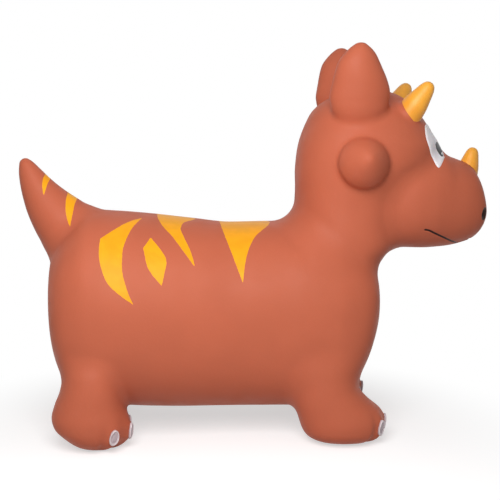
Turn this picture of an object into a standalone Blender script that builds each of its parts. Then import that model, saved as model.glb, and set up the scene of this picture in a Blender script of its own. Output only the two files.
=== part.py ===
"""A bouncy ride-on animal: an inflatable, horned, four-footed hopper in soft PVC, +X forward, +Z up.

The toy is one hollow moulded skin with a valve in its belly. Here the skin is split into named regions:
those that flex have a joint, and all of them are cut from the same few lofted forms, so that they meet
edge to edge. Lengths are in metres. The origin is on the floor, under the middle of the toy.
"""

import math

import bmesh
import bpy
from mathutils import Matrix, Vector

# Walls and clearances
WALL = 0.0025
GAP = 0.0003
OVERRUN = 0.040

# Torso: a rounded barrel along X
TORSO_LENGTH = 0.387
TORSO_REAR_X = -0.2445
TORSO_HEIGHT = 0.217
TORSO_WIDTH = 0.210
BELLY_HEIGHT = 0.0305
TORSO_FRONT_X = TORSO_REAR_X + TORSO_LENGTH
TORSO_TOP_Z = BELLY_HEIGHT + TORSO_HEIGHT

# Neck and skull: an upright form that starts inside the torso
HEAD_LENGTH = 0.150
HEAD_WIDTH = 0.152
HEAD_HEIGHT = 0.219
HEAD_SETBACK = 0.021
NECK_ROOT_DEPTH = 0.061
HEAD_CENTRE_X = TORSO_FRONT_X - HEAD_SETBACK
NECK_ROOT_Z = TORSO_TOP_Z - NECK_ROOT_DEPTH
HEAD_TOP_Z = NECK_ROOT_Z + HEAD_HEIGHT

# Snout: a form along X that comes out of the skull
SNOUT_LENGTH = 0.1435
SNOUT_WIDTH = 0.132
SNOUT_HEIGHT = 0.124
SNOUT_ROOT_REACH = 0.010
SNOUT_RISE = 0.029
SNOUT_REAR_X = HEAD_CENTRE_X + SNOUT_ROOT_REACH
SNOUT_BOTTOM_Z = NECK_ROOT_Z + SNOUT_RISE

# The slanting seam between torso and neck, through the nape and the throat
NAPE_SETBACK = 0.084
NAPE_RISE = 0.011
THROAT_REACH = 0.035
THROAT_RISE = 0.019
NAPE_X = HEAD_CENTRE_X - NAPE_SETBACK
NAPE_Z = TORSO_TOP_Z + NAPE_RISE
THROAT_X = HEAD_CENTRE_X + THROAT_REACH
THROAT_Z = NECK_ROOT_Z + THROAT_RISE

# Ears: lobes on a spheroid root that turns in the skull
EAR_LENGTH = 0.062
EAR_WIDTH = 0.068
EAR_THICKNESS = 0.045
EAR_SETBACK = 0.010
EAR_DROP = 0.011
EAR_Y = 0.052
EAR_SPLAY = 0.011
EAR_AIR_RADIUS = 0.014
EAR_MOUTH_ROOM = 0.0015
EAR_MOUTH_DEPTH = 0.004
EAR_X = HEAD_CENTRE_X - EAR_SETBACK
EAR_Z = HEAD_TOP_Z - EAR_DROP

# Tail: a tapering horn on a ball root that turns in the rump
TAIL_ROOT_RADIUS = 0.038
TAIL_INSET = 0.027
TAIL_DROP = 0.010
TAIL_REACH = 0.055
TAIL_RISE = 0.0845
TAIL_AIR_RADIUS = 0.016
TAIL_X = TORSO_REAR_X + TAIL_INSET
TAIL_Z = TORSO_TOP_Z - TAIL_DROP

# Cheek knobs: rounded cones that point sideways, a little forward and up
KNOB_RADIUS = 0.029
KNOB_LENGTH = 0.048
KNOB_SETBACK = 0.008
KNOB_ROOT_DEPTH = 0.016
KNOB_RISE_SHARE = 0.609
KNOB_FORWARD = math.radians(1)
KNOB_LIFT = math.radians(13)
KNOB_X = HEAD_CENTRE_X - KNOB_SETBACK
KNOB_Y = HEAD_WIDTH / 2 - KNOB_ROOT_DEPTH
KNOB_Z = NECK_ROOT_Z + KNOB_RISE_SHARE * HEAD_HEIGHT

# Brow horns and nose horn, from the middle of the base
BROW_HORN_RADIUS = 0.0168
BROW_HORN_LENGTH = 0.0328
BROW_HORN_REACH = 0.0553
BROW_HORN_DROP = 0.0195
BROW_HORN_Y = 0.0445
BROW_HORN_LEAN = math.radians(32)
BROW_HORN_SPLAY = math.radians(23)
BROW_HORN_X = HEAD_CENTRE_X + BROW_HORN_REACH
BROW_HORN_Z = HEAD_TOP_Z - BROW_HORN_DROP
NOSE_HORN_RADIUS = 0.0142
NOSE_HORN_LENGTH = 0.022
NOSE_HORN_SETBACK = 0.0184
NOSE_HORN_DROP = 0.0245
NOSE_HORN_LEAN = math.radians(14)
NOSE_HORN_X = SNOUT_REAR_X + SNOUT_LENGTH - NOSE_HORN_SETBACK
NOSE_HORN_Z = SNOUT_BOTTOM_Z + SNOUT_HEIGHT - NOSE_HORN_DROP
HORN_ROOT_DEPTH = 0.012

# Legs: the foot below the belly line rises as the toy is pressed down, the leg above it folds
FRONT_LEG_LENGTH = 0.104
FRONT_LEG_SETBACK = 0.0475
REAR_LEG_LENGTH = 0.090
REAR_LEG_INSET = 0.049
LEG_HEIGHT = 0.125
LEG_WIDTH = 0.083
LEG_INSET = 0.035
FOLD_HEIGHT = 0.061
FOLD_CLEARANCE = 0.0075
FRONT_LEG_X = TORSO_FRONT_X - FRONT_LEG_SETBACK
REAR_LEG_X = TORSO_REAR_X + REAR_LEG_INSET
LEG_Y = TORSO_WIDTH / 2 - LEG_INSET
FOLD_TOP_Z = BELLY_HEIGHT + FOLD_HEIGHT

# Claws: raised ovals round the front of each foot
CLAW_WIDTH = 0.0118
CLAW_HEIGHT = 0.019
CLAW_RAISE = 0.0024
CLAW_Z = 0.0208
FRONT_CLAW_TURN = math.radians(31)
FRONT_TOE_OUT = math.radians(-1)
REAR_CLAW_TURN = math.radians(40)
REAR_TOE_OUT = math.radians(8)
CLAW_COUNT = 3

# Valve: a seat ring through the belly skin and a stopper pushed up into it
VALVE_INSET = 0.1945
SEAT_RADIUS = 0.0120
SEAT_FLANGE_RADIUS = 0.0180
SEAT_FLANGE_THICKNESS = 0.0022
SEAT_FLANGE_LIFT = 0.0016
SEAT_LENGTH = 0.0160
SEAT_RECESS = 0.0026
PLUG_HEAD_RADIUS = 0.0092
PLUG_STEM_RADIUS = 0.0050
PLUG_STEM_LENGTH = 0.0180
PLUG_GRIP_RADIUS = 0.0040
PLUG_GRIP_DEPTH = 0.0012
PLUG_TAPER_START_SHARE = 0.8
PLUG_TIP_SHARE = 0.7
VALVE_X = TORSO_REAR_X + VALVE_INSET

# Faces round each form
TORSO_SEGMENTS = 28
HEAD_SEGMENTS = 22
SNOUT_SEGMENTS = 18
LIMB_SEGMENTS = 16
EAR_SEGMENTS = 16
TAIL_SEGMENTS = 16
ROOT_SEGMENTS = 20
ROOT_AIR_SEGMENTS = 12
KNOB_SEGMENTS = 16
HORN_SEGMENTS = 12
CLAW_SEGMENTS = 12
VALVE_SEGMENTS = 20

# Stations from rump to chest: along the length, bottom and top of the height, half width, squareness
TORSO_SHARES = (
    (0.000, 0.530, 0.700, 0.280, 2.00),
    (0.008, 0.360, 0.832, 0.590, 2.10),
    (0.028, 0.210, 0.918, 0.780, 2.20),
    (0.065, 0.100, 1.005, 0.905, 2.30),
    (0.128, 0.042, 1.075, 0.990, 2.25),
    (0.204, 0.018, 1.068, 1.010, 2.20),
    (0.304, 0.007, 1.052, 1.000, 2.20),
    (0.430, 0.000, 1.025, 0.970, 2.22),
    (0.555, 0.000, 1.000, 0.945, 2.30),
    (0.668, 0.000, 1.001, 0.955, 2.40),
    (0.756, 0.000, 0.993, 0.980, 2.45),
    (0.844, 0.018, 0.972, 0.970, 2.40),
    (0.907, 0.078, 0.940, 0.914, 2.40),
    (0.952, 0.204, 0.885, 0.820, 2.30),
    (0.980, 0.342, 0.820, 0.667, 2.20),
    (0.995, 0.430, 0.747, 0.440, 2.05),
    (1.000, 0.515, 0.664, 0.210, 2.00),
)

# Stations up the neck and skull: height, back and front of the length, half width, squareness
HEAD_SHARES = (
    (0.000, -0.640, 0.090, 0.900, 2.30),
    (0.110, -0.660, 0.205, 0.955, 2.30),
    (0.150, -0.680, 0.285, 0.965, 2.30),
    (0.265, -0.690, 0.305, 0.960, 2.30),
    (0.295, -0.615, 0.305, 0.945, 2.30),
    (0.335, -0.550, 0.310, 0.930, 2.30),
    (0.390, -0.502, 0.325, 0.925, 2.30),
    (0.470, -0.494, 0.380, 0.940, 2.30),
    (0.550, -0.497, 0.490, 0.975, 2.30),
    (0.630, -0.489, 0.582, 1.000, 2.30),
    (0.705, -0.472, 0.606, 0.985, 2.30),
    (0.765, -0.445, 0.580, 0.945, 2.30),
    (0.820, -0.412, 0.534, 0.870, 2.30),
    (0.870, -0.375, 0.468, 0.770, 2.30),
    (0.920, -0.305, 0.400, 0.630, 2.25),
    (0.962, -0.200, 0.325, 0.445, 2.15),
    (0.988, -0.090, 0.230, 0.250, 2.05),
    (1.000, 0.000, 0.140, 0.100, 2.00),
)

# Stations from skull to nose: along the length, bottom and top of the height, half width, squareness
SNOUT_SHARES = (
    (0.000, 0.140, 0.860, 0.730, 2.20),
    (0.170, 0.026, 0.946, 0.940, 2.30),
    (0.340, 0.018, 0.972, 1.000, 2.40),
    (0.476, 0.013, 0.977, 0.970, 2.40),
    (0.585, 0.019, 0.964, 0.910, 2.40),
    (0.680, 0.030, 0.900, 0.850, 2.40),
    (0.782, 0.055, 0.856, 0.785, 2.35),
    (0.871, 0.090, 0.795, 0.700, 2.30),
    (0.932, 0.148, 0.680, 0.600, 2.25),
    (0.966, 0.215, 0.550, 0.480, 2.20),
    (0.990, 0.300, 0.446, 0.320, 2.10),
    (1.000, 0.370, 0.420, 0.150, 2.00),
)

# Stations up each leg: height, back and front of the length, half width, inward shift of the width
FRONT_LEG_SHARES = (
    (0.000, -0.240, 0.270, 0.360, 0.00),
    (0.024, -0.330, 0.365, 0.630, 0.00),
    (0.072, -0.412, 0.435, 0.865, 0.00),
    (0.128, -0.460, 0.462, 0.970, 0.00),
    (0.208, -0.502, 0.470, 1.000, 0.00),
    (0.290, -0.532, 0.422, 0.975, 0.00),
    (0.400, -0.566, 0.270, 0.930, 0.00),
    (0.528, -0.588, 0.168, 0.885, 0.00),
    (0.680, -0.606, 0.145, 0.835, 0.00),
    (0.880, -0.606, 0.148, 0.700, 0.07),
    (1.000, -0.510, 0.060, 0.460, 0.14),
)
REAR_LEG_SHARES = (
    (0.000, -0.100, 0.300, 0.340, 0.00),
    (0.024, -0.195, 0.365, 0.535, 0.00),
    (0.072, -0.290, 0.447, 0.760, 0.00),
    (0.128, -0.382, 0.508, 0.895, 0.00),
    (0.208, -0.476, 0.522, 0.975, 0.00),
    (0.290, -0.500, 0.476, 1.000, 0.00),
    (0.400, -0.466, 0.406, 0.975, 0.00),
    (0.528, -0.396, 0.380, 0.950, 0.00),
    (0.680, -0.348, 0.375, 0.885, 0.00),
    (0.880, -0.325, 0.400, 0.745, 0.07),
    (1.000, -0.233, 0.300, 0.460, 0.14),
)
LEG_SQUARENESS_SHARE = 2.15

# Stations up each ear: height, backward shift and half of the width, half thickness
EAR_SHARES = (
    (0.000, 0.000, 1.000, 1.000),
    (0.145, 0.010, 0.985, 0.995),
    (0.340, -0.004, 0.905, 0.960),
    (0.516, -0.025, 0.796, 0.880),
    (0.677, -0.038, 0.672, 0.770),
    (0.820, -0.025, 0.500, 0.600),
    (0.935, -0.022, 0.285, 0.370),
    (1.000, -0.015, 0.090, 0.120),
)

# Stations out along the tail: reach, rise, radius as a share of the root's
TAIL_SHARES = (
    (0.00, 0.00, 0.930),
    (0.27, 0.20, 0.860),
    (0.52, 0.41, 0.700),
    (0.725, 0.63, 0.520),
    (0.870, 0.825, 0.365),
    (0.955, 0.955, 0.240),
    (1.02, 1.04, 0.085),
)

# Stations out along a knob and up a horn: length, radius
KNOB_SHARES = ((0.00, 1.00), (0.33, 1.00), (0.52, 0.88), (0.70, 0.68), (0.85, 0.45), (0.95, 0.24), (1.00, 0.08))
HORN_SHARES = ((0.00, 1.00), (0.33, 0.84), (0.62, 0.66), (0.85, 0.49), (0.96, 0.31), (1.00, 0.11))

SKIN_COLOUR = (0.515, 0.127, 0.065, 1.0)
HORN_COLOUR = (0.914, 0.407, 0.052, 1.0)
CLAW_COLOUR = (0.823, 0.761, 0.753, 1.0)
VALVE_COLOUR = (0.440, 0.105, 0.055, 1.0)
PLUG_COLOUR = (0.700, 0.680, 0.640, 1.0)
SKIN_ROUGHNESS = 0.42
PAINT_ROUGHNESS = 0.40
VALVE_ROUGHNESS = 0.50

SIDES = {"left": 1, "right": -1}
SHARP_ANGLE = math.radians(50)


def make_material(name, colour, roughness):
    """A Principled material of one plain finish."""
    material = bpy.data.materials.new(name)
    material.use_nodes = True
    shader = material.node_tree.nodes["Principled BSDF"]
    shader.inputs["Base Color"].default_value = colour
    shader.inputs["Roughness"].default_value = roughness
    shader.inputs["Metallic"].default_value = 0.0
    material.diffuse_color = colour
    return material


def superellipse(centre, across, up, squareness, count):
    """A closed ring of points round centre, with the half axes across and up."""
    ring = []
    for step in range(count):
        angle = 2 * math.pi * (step + 0.5) / count
        cosine, sine = math.cos(angle), math.sin(angle)
        along = math.copysign(abs(cosine) ** (2 / squareness), cosine)
        above = math.copysign(abs(sine) ** (2 / squareness), sine)
        ring.append(Vector(centre) + Vector(across) * along + Vector(up) * above)
    return ring


def loft(rings):
    """A closed skin through rings of equal count, facing out."""
    form = bmesh.new()
    loops = [[form.verts.new(point) for point in ring] for ring in rings]
    for low, high in zip(loops, loops[1:]):
        for i in range(len(low)):
            j = (i + 1) % len(low)
            form.faces.new((low[i], low[j], high[j], high[i]))
    form.faces.new(loops[0])
    form.faces.new(loops[-1])
    bmesh.ops.recalc_face_normals(form, faces=form.faces)
    return form


def box(low, high):
    """A closed box between two corners."""
    form = bmesh.new()
    bmesh.ops.create_cube(form, size=1)
    size = Vector(high) - Vector(low)
    middle = (Vector(high) + Vector(low)) / 2
    bmesh.ops.transform(form, matrix=Matrix.Diagonal(size.to_4d()), verts=form.verts)
    bmesh.ops.translate(form, vec=middle, verts=form.verts)
    bmesh.ops.recalc_face_normals(form, faces=form.faces)
    return form


def ball(centre, half_x, half_y, half_z, count):
    """A closed spheroid round centre, its poles on the Y axis."""
    form = bmesh.new()
    bmesh.ops.create_uvsphere(form, u_segments=count, v_segments=count // 2, radius=1)
    turn = Matrix.Rotation(math.pi / 2, 4, "X")
    size = Matrix.Diagonal((half_x, half_y, half_z, 1))
    bmesh.ops.transform(form, matrix=Matrix.Translation(centre) @ size @ turn, verts=form.verts)
    bmesh.ops.recalc_face_normals(form, faces=form.faces)
    return form


def socket(centre, half, deep, count):
    """The room that a spheroid root with flat facets needs to turn about Y with a gap all round."""
    clear = (half + GAP) / math.cos(math.pi / count)
    return ball(centre, clear, deep + GAP, clear, count)


def turned(profile, centre, count):
    """A closed solid turned round the upright axis through centre, from (radius, height) points."""
    rings = []
    for radius, height in profile:
        middle = Vector(centre) + Vector((0, 0, height))
        rings.append(superellipse(middle, (radius, 0, 0), (0, radius, 0), 2, count))
    return loft(rings)


def rod(start, direction, radius, length, count):
    """A closed round rod from start along direction."""
    return cone_loft(start, direction, length, ((0.0, 1.0), (1.0, 1.0)), radius, count)


def cone_loft(start, direction, length, shares, radius, count):
    """A closed round form from start along direction, through stations of length and radius."""
    axis = Vector(direction).normalized()
    across = axis.orthogonal().normalized()
    up = axis.cross(across)
    rings = []
    for along, size in shares:
        middle = Vector(start) + axis * length * along
        rings.append(superellipse(middle, across * radius * size, up * radius * size, 2, count))
    return loft(rings)


def grown(form, distance):
    """A copy of a form whose skin is moved outward by distance, or inward if it is negative."""
    copy = form.copy()
    copy.normal_update()
    moves = [vert.normal * distance * vert.calc_shell_factor() for vert in copy.verts]
    for vert, move in zip(copy.verts, moves):
        vert.co += move
    return copy


def add_object(name, form):
    mesh = bpy.data.meshes.new(name)
    form.to_mesh(mesh)
    mesh.shade_smooth()
    mesh.set_sharp_from_angle(angle=SHARP_ANGLE)
    item = bpy.data.objects.new(name, mesh)
    bpy.context.scene.collection.objects.link(item)
    return item


def add_cutter(name, form):
    """A guide for Booleans, which is not part of the toy."""
    item = add_object(name, form)
    item.hide_render = True
    item.display_type = "WIRE"
    return item


def add_piece(name, form, material, pivot=(0, 0, 0)):
    """A named piece of the toy, with its origin at pivot."""
    item = add_object(name, form)
    item.data.materials.append(material)
    item.data.transform(Matrix.Translation(-Vector(pivot)))
    item.location = pivot
    return item


def cut(item, operation, *cutters):
    for cutter in cutters:
        modifier = item.modifiers.new(f"{operation.lower()} {cutter.name}", "BOOLEAN")
        modifier.operation = operation
        modifier.solver = "EXACT"
        modifier.object = cutter


def torso_form():
    rings = []
    for along, bottom, top, half, squareness in TORSO_SHARES:
        low = BELLY_HEIGHT + bottom * TORSO_HEIGHT
        high = BELLY_HEIGHT + top * TORSO_HEIGHT
        centre = (TORSO_REAR_X + along * TORSO_LENGTH, 0, (low + high) / 2)
        across = (0, half * TORSO_WIDTH / 2, 0)
        rings.append(superellipse(centre, across, (0, 0, (high - low) / 2), squareness, TORSO_SEGMENTS))
    return loft(rings)


def head_form():
    rings = []
    for up, back, front, half, squareness in HEAD_SHARES:
        rear = HEAD_CENTRE_X + back * HEAD_LENGTH
        face = HEAD_CENTRE_X + front * HEAD_LENGTH
        centre = ((rear + face) / 2, 0, NECK_ROOT_Z + up * HEAD_HEIGHT)
        across = ((face - rear) / 2, 0, 0)
        rings.append(superellipse(centre, across, (0, half * HEAD_WIDTH / 2, 0), squareness, HEAD_SEGMENTS))
    return loft(rings)


def snout_form():
    rings = []
    for along, bottom, top, half, squareness in SNOUT_SHARES:
        low = SNOUT_BOTTOM_Z + bottom * SNOUT_HEIGHT
        high = SNOUT_BOTTOM_Z + top * SNOUT_HEIGHT
        centre = (SNOUT_REAR_X + along * SNOUT_LENGTH, 0, (low + high) / 2)
        across = (0, half * SNOUT_WIDTH / 2, 0)
        rings.append(superellipse(centre, across, (0, 0, (high - low) / 2), squareness, SNOUT_SEGMENTS))
    return loft(rings)


def leg_form(side, x, length, shares):
    rings = []
    for up, back, front, half, inward in shares:
        width = half * LEG_WIDTH / 2
        centre = (x + (back + front) / 2 * length, side * (LEG_Y - inward * LEG_WIDTH), up * LEG_HEIGHT)
        across = ((front - back) / 2 * length, 0, 0)
        rings.append(superellipse(centre, across, (0, width, 0), LEG_SQUARENESS_SHARE, LIMB_SEGMENTS))
    return loft(rings)


def ear_form(side):
    rings = []
    for up, shift, half, thick in EAR_SHARES:
        x = EAR_X + shift * EAR_WIDTH
        y = side * (EAR_Y + up * EAR_SPLAY)
        across = (half * EAR_WIDTH / 2, 0, 0)
        deep = (0, thick * EAR_THICKNESS / 2, 0)
        rings.append(superellipse((x, y, EAR_Z + up * EAR_LENGTH), across, deep, 2, EAR_SEGMENTS))
    return loft(rings)


def tail_form():
    """Rings square to the tail's own curve, in the middle plane."""
    middles = [Vector((TAIL_X - out * TAIL_REACH, 0, TAIL_Z + up * TAIL_RISE)) for out, up, _ in TAIL_SHARES]
    rings = []
    for i, (_, _, size) in enumerate(TAIL_SHARES):
        along = (middles[min(i + 1, len(middles) - 1)] - middles[max(i - 1, 0)]).normalized()
        radius = size * TAIL_ROOT_RADIUS
        across = along.cross(Vector((0, 1, 0))) * radius
        rings.append(superellipse(middles[i], across, (0, radius, 0), 2, TAIL_SEGMENTS))
    return loft(rings)


def neck_cutter(name, shift, above):
    """All that lies above, or below, the slanting seam, whose plane is moved along its normal by shift."""
    nape = Vector((NAPE_X, 0, NAPE_Z))
    run = (Vector((THROAT_X, 0, THROAT_Z)) - nape).normalized()
    normal = Vector((-run.z, 0, run.x))
    reach = TORSO_LENGTH
    far = reach if above else -reach
    low = Vector((-reach, -reach, min(0, far)))
    high = Vector((reach, reach, max(0, far)))
    form = box(low, high)
    turn = Matrix((run, (0, 1, 0), normal)).transposed().to_4x4()
    bmesh.ops.transform(form, matrix=Matrix.Translation(nape + normal * shift) @ turn, verts=form.verts)
    return add_cutter(name, form)


def make_torso_and_head(skin, forms, guides):
    """The barrel with its neck opening, and the neck, skull and snout above the seam."""
    torso = add_piece("torso_skin", forms["torso"], skin)
    cut(torso, "UNION", guides["head"])
    cut(torso, "DIFFERENCE", guides["torso_air"], guides["head_air"])
    cut(torso, "DIFFERENCE", neck_cutter("above_seam", -GAP / 2, True), guides["tail_root"])
    cut(torso, "DIFFERENCE", *guides["folds"], guides["valve_hole"])

    head = add_piece("head_skin", forms["head"], skin)
    cut(head, "UNION", guides["snout"])
    cut(head, "DIFFERENCE", guides["head_air"], guides["snout_air"])
    cut(head, "DIFFERENCE", neck_cutter("below_seam", GAP / 2, False))
    cut(head, "DIFFERENCE", *guides["head_holes"])


def ear_mouth(side):
    """Room over the socket's rim for the foot of the lobe as it leans."""
    across = (EAR_WIDTH / 2 + EAR_MOUTH_ROOM, 0, 0)
    deep = (0, EAR_THICKNESS / 2 + EAR_MOUTH_ROOM, 0)
    heights = (EAR_Z - EAR_MOUTH_DEPTH, EAR_Z + EAR_WIDTH / 2)
    return loft([superellipse((EAR_X, side * EAR_Y, z), across, deep, 2, ROOT_SEGMENTS) for z in heights])


def make_ear(side_name, skin, guides):
    """A lobe on its spheroid root: it turns about Y in the skull when a rider pulls the grip."""
    side = SIDES[side_name]
    pivot = Vector((EAR_X, side * EAR_Y, EAR_Z))
    half = EAR_WIDTH / 2
    deep = EAR_THICKNESS / 2
    lobe = ear_form(side)
    root = ball(pivot, half, deep, half, ROOT_SEGMENTS)
    root_air = ball(pivot, half - WALL, deep - WALL, half - WALL, ROOT_AIR_SEGMENTS)
    ear = add_piece(f"ear_{side_name}", lobe, skin, pivot)
    air_hole = rod(pivot, (0, 0, -1), EAR_AIR_RADIUS, EAR_WIDTH, EAR_SEGMENTS)
    cut(ear, "UNION", add_cutter(f"ear_root_{side_name}", root))
    cut(ear, "DIFFERENCE", add_cutter(f"ear_air_{side_name}", grown(lobe, -WALL)))
    cut(ear, "DIFFERENCE", add_cutter(f"ear_root_air_{side_name}", root_air))
    cut(ear, "DIFFERENCE", add_cutter(f"ear_air_hole_{side_name}", air_hole))
    room = socket(pivot, half, deep, ROOT_SEGMENTS)
    guides["head_holes"].append(add_cutter(f"ear_socket_{side_name}", room))
    guides["head_holes"].append(add_cutter(f"ear_mouth_{side_name}", ear_mouth(side)))


def make_tail(skin, guides):
    """A horn-shaped tail on a ball root, which turns about Y in the rump."""
    pivot = Vector((TAIL_X, 0, TAIL_Z))
    radius = TAIL_ROOT_RADIUS
    horn = tail_form()
    inner = radius - WALL
    root = ball(pivot, radius, radius, radius, ROOT_SEGMENTS)
    root_air = ball(pivot, inner, inner, inner, ROOT_AIR_SEGMENTS)
    tail = add_piece("tail_skin", horn, skin, pivot)
    air_hole = rod(pivot, (TAIL_REACH, 0, -TAIL_RISE), TAIL_AIR_RADIUS, 2 * radius, TAIL_SEGMENTS)
    cut(tail, "UNION", add_cutter("tail_ball", root))
    cut(tail, "DIFFERENCE", add_cutter("tail_air", grown(horn, -WALL)))
    cut(tail, "DIFFERENCE", add_cutter("tail_ball_air", root_air))
    cut(tail, "DIFFERENCE", add_cutter("tail_air_hole", air_hole))
    guides["tail_root"] = add_cutter("tail_socket", socket(pivot, radius, radius, ROOT_SEGMENTS))


def make_stub(name, start, direction, length, shares, radius, count, material, guides):
    """A knob or horn that stands on the head over a hole, so that one air space fills both."""
    outer = cone_loft(start, direction, length, shares, radius, count)
    inner = grown(outer, -WALL)
    stub = add_piece(name, outer, material)
    air = add_cutter(f"{name}_air", inner)
    hole_radius = shares[1][1] * radius - 2 * WALL
    hole = rod(Vector(start) - Vector(direction) * radius, direction, hole_radius, length / 2 + radius, count)
    guides["head_holes"].append(add_cutter(f"{name}_hole", hole))
    cut(stub, "DIFFERENCE", air, guides["head_outside"], guides["snout_outside"])


def make_knobs_and_horns(skin, horn, guides):
    for side_name, side in SIDES.items():
        start = (KNOB_X, side * KNOB_Y, KNOB_Z)
        out = Vector((math.tan(KNOB_FORWARD), side, math.tan(KNOB_LIFT))).normalized()
        make_stub(
            f"cheek_knob_{side_name}", start, out, KNOB_LENGTH, KNOB_SHARES, KNOB_RADIUS,
            KNOB_SEGMENTS, skin, guides,
        )
        axis = Vector((math.tan(BROW_HORN_LEAN), side * math.tan(BROW_HORN_SPLAY), 1)).normalized()
        base = Vector((BROW_HORN_X, side * BROW_HORN_Y, BROW_HORN_Z))
        make_stub(
            f"brow_horn_{side_name}", base - axis * HORN_ROOT_DEPTH, axis,
            BROW_HORN_LENGTH + HORN_ROOT_DEPTH, HORN_SHARES, BROW_HORN_RADIUS, HORN_SEGMENTS, horn, guides,
        )
    axis = Vector((math.tan(NOSE_HORN_LEAN), 0, 1)).normalized()
    base = Vector((NOSE_HORN_X, 0, NOSE_HORN_Z))
    make_stub(
        "nose_horn", base - axis * HORN_ROOT_DEPTH, axis, NOSE_HORN_LENGTH + HORN_ROOT_DEPTH,
        HORN_SHARES, NOSE_HORN_RADIUS, HORN_SEGMENTS, horn, guides,
    )


def make_claws(corner, foot, x, length, shares, fan, side, claw):
    """Raised ovals in a fan round the toe end of a foot, counted from the inner one. The fan gives the turn
    from claw to claw and how far the toes point outward."""
    spacing, toe_out = fan
    _, back, front, _, _ = max(shares, key=lambda station: station[3])
    middle = Vector((x + (back + front) / 2 * length, side * LEG_Y, CLAW_Z))
    raised = add_cutter(f"foot_raised_{corner}", grown(foot, CLAW_RAISE))
    outside = add_cutter(f"foot_outside_{corner}", grown(foot, GAP))
    for i in range(CLAW_COUNT):
        turn = side * ((i - (CLAW_COUNT - 1) / 2) * spacing + toe_out)
        out = Vector((math.cos(turn), math.sin(turn), 0))
        across = Vector((-out.y, out.x, 0)) * CLAW_WIDTH / 2
        up = Vector((0, 0, CLAW_HEIGHT / 2))
        ends = (middle + out * CLAW_WIDTH, middle + out * length)
        oval = loft([superellipse(end, across, up, 2, CLAW_SEGMENTS) for end in ends])
        nail = add_piece(f"claw_{corner}_{i + 1}", oval, claw, (x, side * LEG_Y, 0))
        cut(nail, "INTERSECT", raised)
        cut(nail, "DIFFERENCE", outside)


def make_legs(skin, claw, guides):
    """Each corner: a foot that rises when the toy is pressed down, its claws, and the folding leg above."""
    ends = {
        "front": (FRONT_LEG_X, FRONT_LEG_LENGTH, FRONT_LEG_SHARES, (FRONT_CLAW_TURN, FRONT_TOE_OUT)),
        "rear": (REAR_LEG_X, REAR_LEG_LENGTH, REAR_LEG_SHARES, (REAR_CLAW_TURN, REAR_TOE_OUT)),
    }
    for end, (x, length, shares, fan) in ends.items():
        foot_stations = [row for row in shares if row[0] * LEG_HEIGHT <= BELLY_HEIGHT + FOLD_CLEARANCE]
        back = x + min(row[1] for row in foot_stations) * length
        front = x + max(row[2] for row in foot_stations) * length
        for side_name, side in SIDES.items():
            corner = f"{end}_{side_name}"
            form = leg_form(side, x, length, shares)
            air = add_cutter(f"leg_air_{corner}", grown(form, -WALL))
            inner_y = LEG_Y - LEG_WIDTH / 2 - FOLD_CLEARANCE
            outer_y = TORSO_WIDTH / 2 + OVERRUN
            lowest_x = back - FOLD_CLEARANCE if end == "front" else back - OVERRUN
            highest_x = front + OVERRUN if end == "front" else front + FOLD_CLEARANCE
            ys = sorted((side * inner_y, side * outer_y))
            fold = box((lowest_x, ys[0], -OVERRUN), (highest_x, ys[1], FOLD_TOP_Z))
            guides["folds"].append(add_cutter(f"fold_space_{corner}", fold))
            edges = sorted((side * (inner_y + GAP), side * (outer_y - GAP)))
            region = box(
                (lowest_x + GAP, edges[0], BELLY_HEIGHT + GAP / 2),
                (highest_x - GAP, edges[1], FOLD_TOP_Z - GAP),
            )
            leg = add_piece(f"leg_{corner}", form, skin)
            cut(leg, "UNION", guides["torso"])
            cut(leg, "DIFFERENCE", guides["torso_air"], air)
            cut(leg, "INTERSECT", add_cutter(f"leg_region_{corner}", region))
            pivot = (x, side * LEG_Y, 0)
            reach = TORSO_LENGTH
            upper = box((-reach, -reach, BELLY_HEIGHT - GAP / 2), (reach, reach, reach))
            foot = add_piece(f"foot_{corner}", form, skin, pivot)
            cut(foot, "DIFFERENCE", air, add_cutter(f"above_foot_{corner}", upper))
            make_claws(corner, form, x, length, shares, fan, side, claw)


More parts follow.
